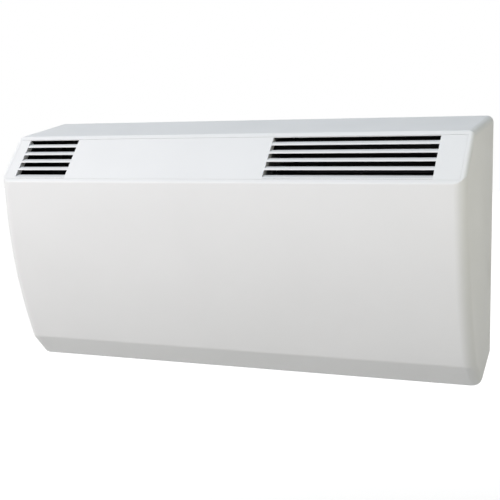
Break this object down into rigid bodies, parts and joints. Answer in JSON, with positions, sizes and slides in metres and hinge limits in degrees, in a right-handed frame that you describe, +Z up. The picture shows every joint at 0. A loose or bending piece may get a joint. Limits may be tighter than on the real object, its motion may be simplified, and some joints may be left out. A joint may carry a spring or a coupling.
{
  "type": "fan convector heater",
  "caption": "Wall-hung fan convector heater: white bowed casing with louvred sloping top, hot-water coil, cross-flow fan, drop-out inlet filter and rocker switches.",
  "frame": {"origin": "centre of the four wall fixing holes, on the wall plane", "axes": "+X along the wall to the right as seen from the room, +Y into the wall, +Z up; the front faces -Y"},
  "size_m": [0.7033, 0.1639, 0.3639],
  "materials": {
    "casing_white": "satin",
    "galvanised_sheet": "satin",
    "black_sheet": "matt",
    "black_plastic": "matt",
    "switch_gloss": "gloss",
    "steel": "satin",
    "brass": "satin",
    "black_rubber": "matt",
    "motor_paint": "satin",
    "fin_aluminium": "satin",
    "copper": "satin",
    "foam": "matt",
    "board_green": "satin",
    "terminal_nylon": "satin",
    "filter_plastic": "matt",
    "filter_mesh": "matt",
    "lead_sheath": "satin"
  },
  "bodies": {
    "chassis": {"casing": "casing_white", "grille_panel": "casing_white", "back_plate": "black_sheet", "left_side_plate": "galvanised_sheet", "right_side_plate": "galvanised_sheet", "fan_scroll": "black_sheet", "front_deflector": "black_sheet", "fan_bearing": "brass", "bearing_bush": "black_rubber", "motor": "motor_paint", "motor_bracket": "galvanised_sheet", "motor_mounts": "black_rubber", "motor_screws": "steel", "coil_fins": "fin_aluminium", "coil_tubes": "copper", "coil_end_plates": "galvanised_sheet", "coil_seals": "foam", "flow_tail": "copper", "return_tail": "copper", "air_vent": "brass", "thermostat_clip": "steel", "pipe_thermostat": "black_plastic", "pipe_clips": "galvanised_sheet", "motor_lead": "lead_sheath", "lead_clip": "black_plastic", "control_box": "galvanised_sheet", "control_lid": "galvanised_sheet", "lid_screws": "steel", "circuit_board": "board_green", "terminal_block": "terminal_nylon", "motor_capacitor": "terminal_nylon", "cable_gland": "black_plastic", "cable_grommet": "black_rubber", "power_switch": "black_plastic", "speed_switch": "black_plastic", "casing_screws": "steel", "side_plate_screws": "steel"},
    "fan": {"impeller": "black_plastic", "motor_shaft": "steel", "idler_pin": "steel"},
    "filter": {"filter_frame": "filter_plastic", "filter_net": "filter_mesh"},
    "power_key": {"power_rocker": "switch_gloss"},
    "speed_key": {"speed_rocker": "switch_gloss"}
  },
  "joints": [
    {"name": "fan_spin", "type": "hinge", "parent": "chassis", "child": "fan", "pos_m": [0.189, -0.068, 0.072], "axis": [1, 0, 0], "continuous": true},
    {"name": "filter_drop", "type": "slide", "parent": "chassis", "child": "filter", "axis": [0, 0, -1], "range_m": [0, 0.06]},
    {"name": "power_press", "type": "hinge", "parent": "chassis", "child": "power_key", "pos_m": [-0.3475, -0.055, 0.062], "axis": [0, -1, 0], "range_deg": [0, 18]},
    {"name": "speed_press", "type": "hinge", "parent": "chassis", "child": "speed_key", "pos_m": [-0.3475, -0.055, 0.03], "axis": [0, -1, 0], "range_deg": [0, 18]}
  ]
}
